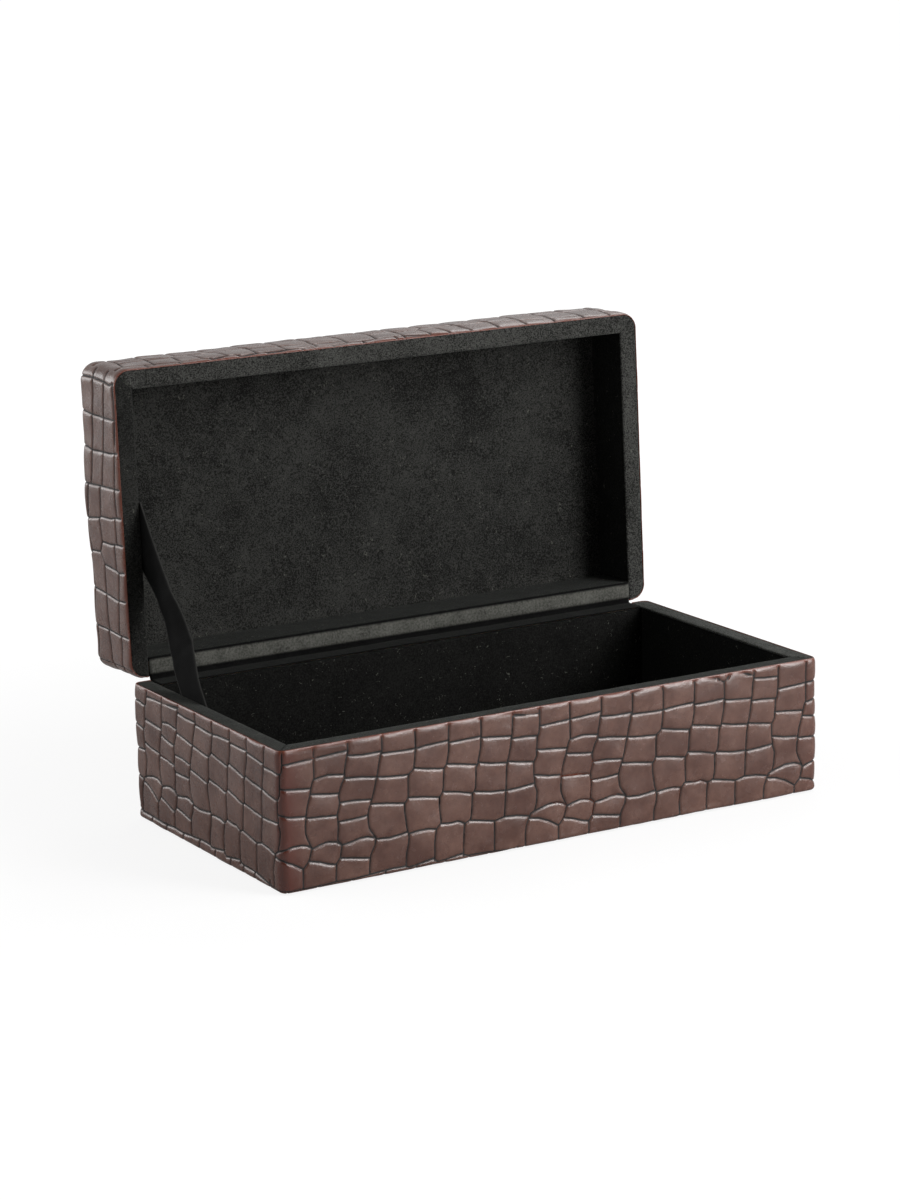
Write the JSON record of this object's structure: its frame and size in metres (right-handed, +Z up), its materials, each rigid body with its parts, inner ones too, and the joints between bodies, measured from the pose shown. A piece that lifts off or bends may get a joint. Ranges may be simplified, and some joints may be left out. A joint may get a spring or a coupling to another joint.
{
  "type": "storage box",
  "caption": "Rectangular storage box in crocodile-embossed leather cloth with a suede lining; the hinged lid opens past upright and a ribbon stays it.",
  "frame": {"origin": "on the surface the box stands on, under the centre of the base", "axes": "+Z up, +X to the right along the long side, -Y towards the front"},
  "size_m": [0.28, 0.1862, 0.2056],
  "materials": {
    "leather": "satin, crocodile embossed",
    "board": "raw fibreboard",
    "card": "grey board",
    "suede": "napped",
    "hinge_cloth": "close napped",
    "foam": "foam",
    "felt": "felt",
    "ribbon": "woven"
  },
  "bodies": {
    "base": {"base_leather_wrap": "leather", "base_bottom_board": "board", "base_front_board": "board", "base_back_board": "board", "base_left_board": "board", "base_right_board": "board", "base_bottom_felt": "felt", "base_floor_lining": "suede", "base_floor_lining_card": "card", "base_front_lining": "suede", "base_front_lining_card": "card", "base_back_lining": "suede", "base_back_lining_card": "card", "base_left_lining": "suede", "base_left_lining_card": "card", "base_right_lining": "suede", "base_right_lining_card": "card", "base_front_rim": "suede", "base_left_rim": "suede", "base_right_rim": "suede", "hinge_cloth_base_leaf": "hinge_cloth", "stay_ribbon": "ribbon"},
    "lid": {"lid_leather_wrap": "leather", "lid_top_foam": "foam", "lid_top_board": "board", "lid_front_board": "board", "lid_back_board": "board", "lid_left_board": "board", "lid_right_board": "board", "lid_top_lining": "suede", "lid_top_lining_foam": "foam", "lid_top_lining_card": "card", "lid_front_lining": "suede", "lid_front_lining_card": "card", "lid_back_lining": "suede", "lid_back_lining_card": "card", "lid_left_lining": "suede", "lid_left_lining_card": "card", "lid_right_lining": "suede", "lid_right_lining_card": "card", "lid_front_rim": "suede", "lid_left_rim": "suede", "lid_right_rim": "suede", "hinge_cloth_lid_leaf": "hinge_cloth"}
  },
  "joints": [
    {"name": "lid_hinge", "type": "hinge", "parent": "base", "child": "lid", "pos_m": [0, 0.071, 0.06375], "axis": [1, 0, 0], "range_deg": [0, 92.5], "deforming": ["stay_ribbon"]}
  ]
}
